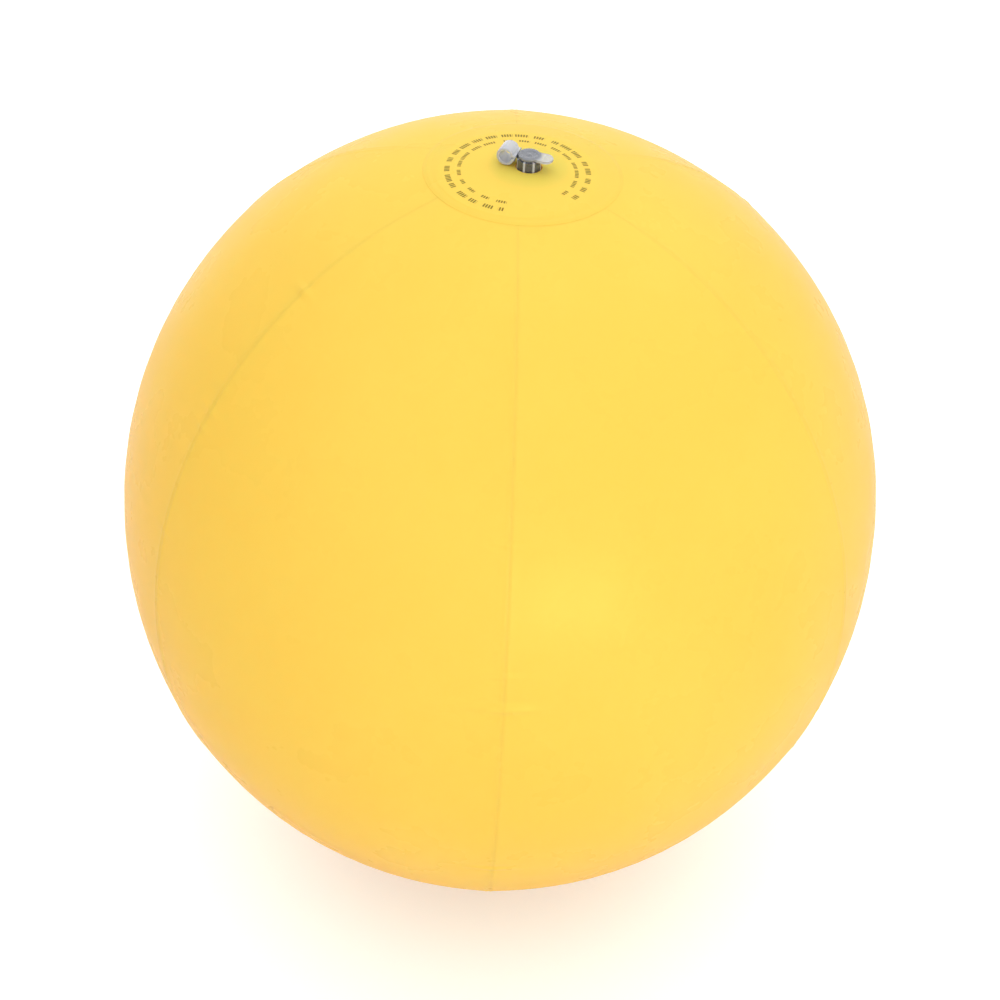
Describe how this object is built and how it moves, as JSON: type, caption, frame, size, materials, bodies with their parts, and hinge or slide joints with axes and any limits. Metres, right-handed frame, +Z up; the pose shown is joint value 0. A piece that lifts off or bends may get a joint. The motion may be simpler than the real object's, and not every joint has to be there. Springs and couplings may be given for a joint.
{
  "type": "beach ball",
  "caption": "Inflatable beach ball of welded film panels with end patches, a push-in air valve with a tethered plug and pull tab, and a check flap inside; it rests on a small flat.",
  "frame": {"origin": "middle of the small flat on the base patch that the ball rests on", "axes": "+Z up along the ball's axis to the valve; one welded seam faces -Y"},
  "size_m": [0.2512, 0.2516, 0.2686],
  "materials": {
    "panel_film": "satin yellow vinyl film, slightly translucent",
    "patch_film": "satin yellow vinyl film with a plain printed ring",
    "valve_plastic": "clear soft vinyl, glossy"
  },
  "bodies": {
    "ball": {"panel_1": "panel_film", "panel_2": "panel_film", "panel_3": "panel_film", "panel_4": "panel_film", "panel_5": "panel_film", "panel_6": "panel_film", "valve_patch": "patch_film", "base_patch": "patch_film", "valve_flange": "valve_plastic", "valve_skirt": "valve_plastic"},
    "valve": {"valve_stem": "valve_plastic", "plug_strap": "valve_plastic"},
    "plug": {"valve_plug": "valve_plastic"},
    "flap": {"check_flap": "valve_plastic"}
  },
  "joints": [
    {"name": "valve_push", "type": "slide", "parent": "ball", "child": "valve", "axis": [0, 0, 1], "range_m": [-0.003, 0], "deforming": ["valve_skirt"]},
    {"name": "plug_pull", "type": "slide", "parent": "valve", "child": "plug", "axis": [0, 0, 1], "range_m": [0, 0.01], "deforming": ["plug_strap"]},
    {"name": "flap_swing", "type": "hinge", "parent": "valve", "child": "flap", "pos_m": [-0.00031, 0.00375, 0.25583], "axis": [0.342, 0.9397, 0], "range_deg": [0, 60], "stiffness_Nm_per_rad": 0.00002, "springref_deg": -11.46}
  ]
}
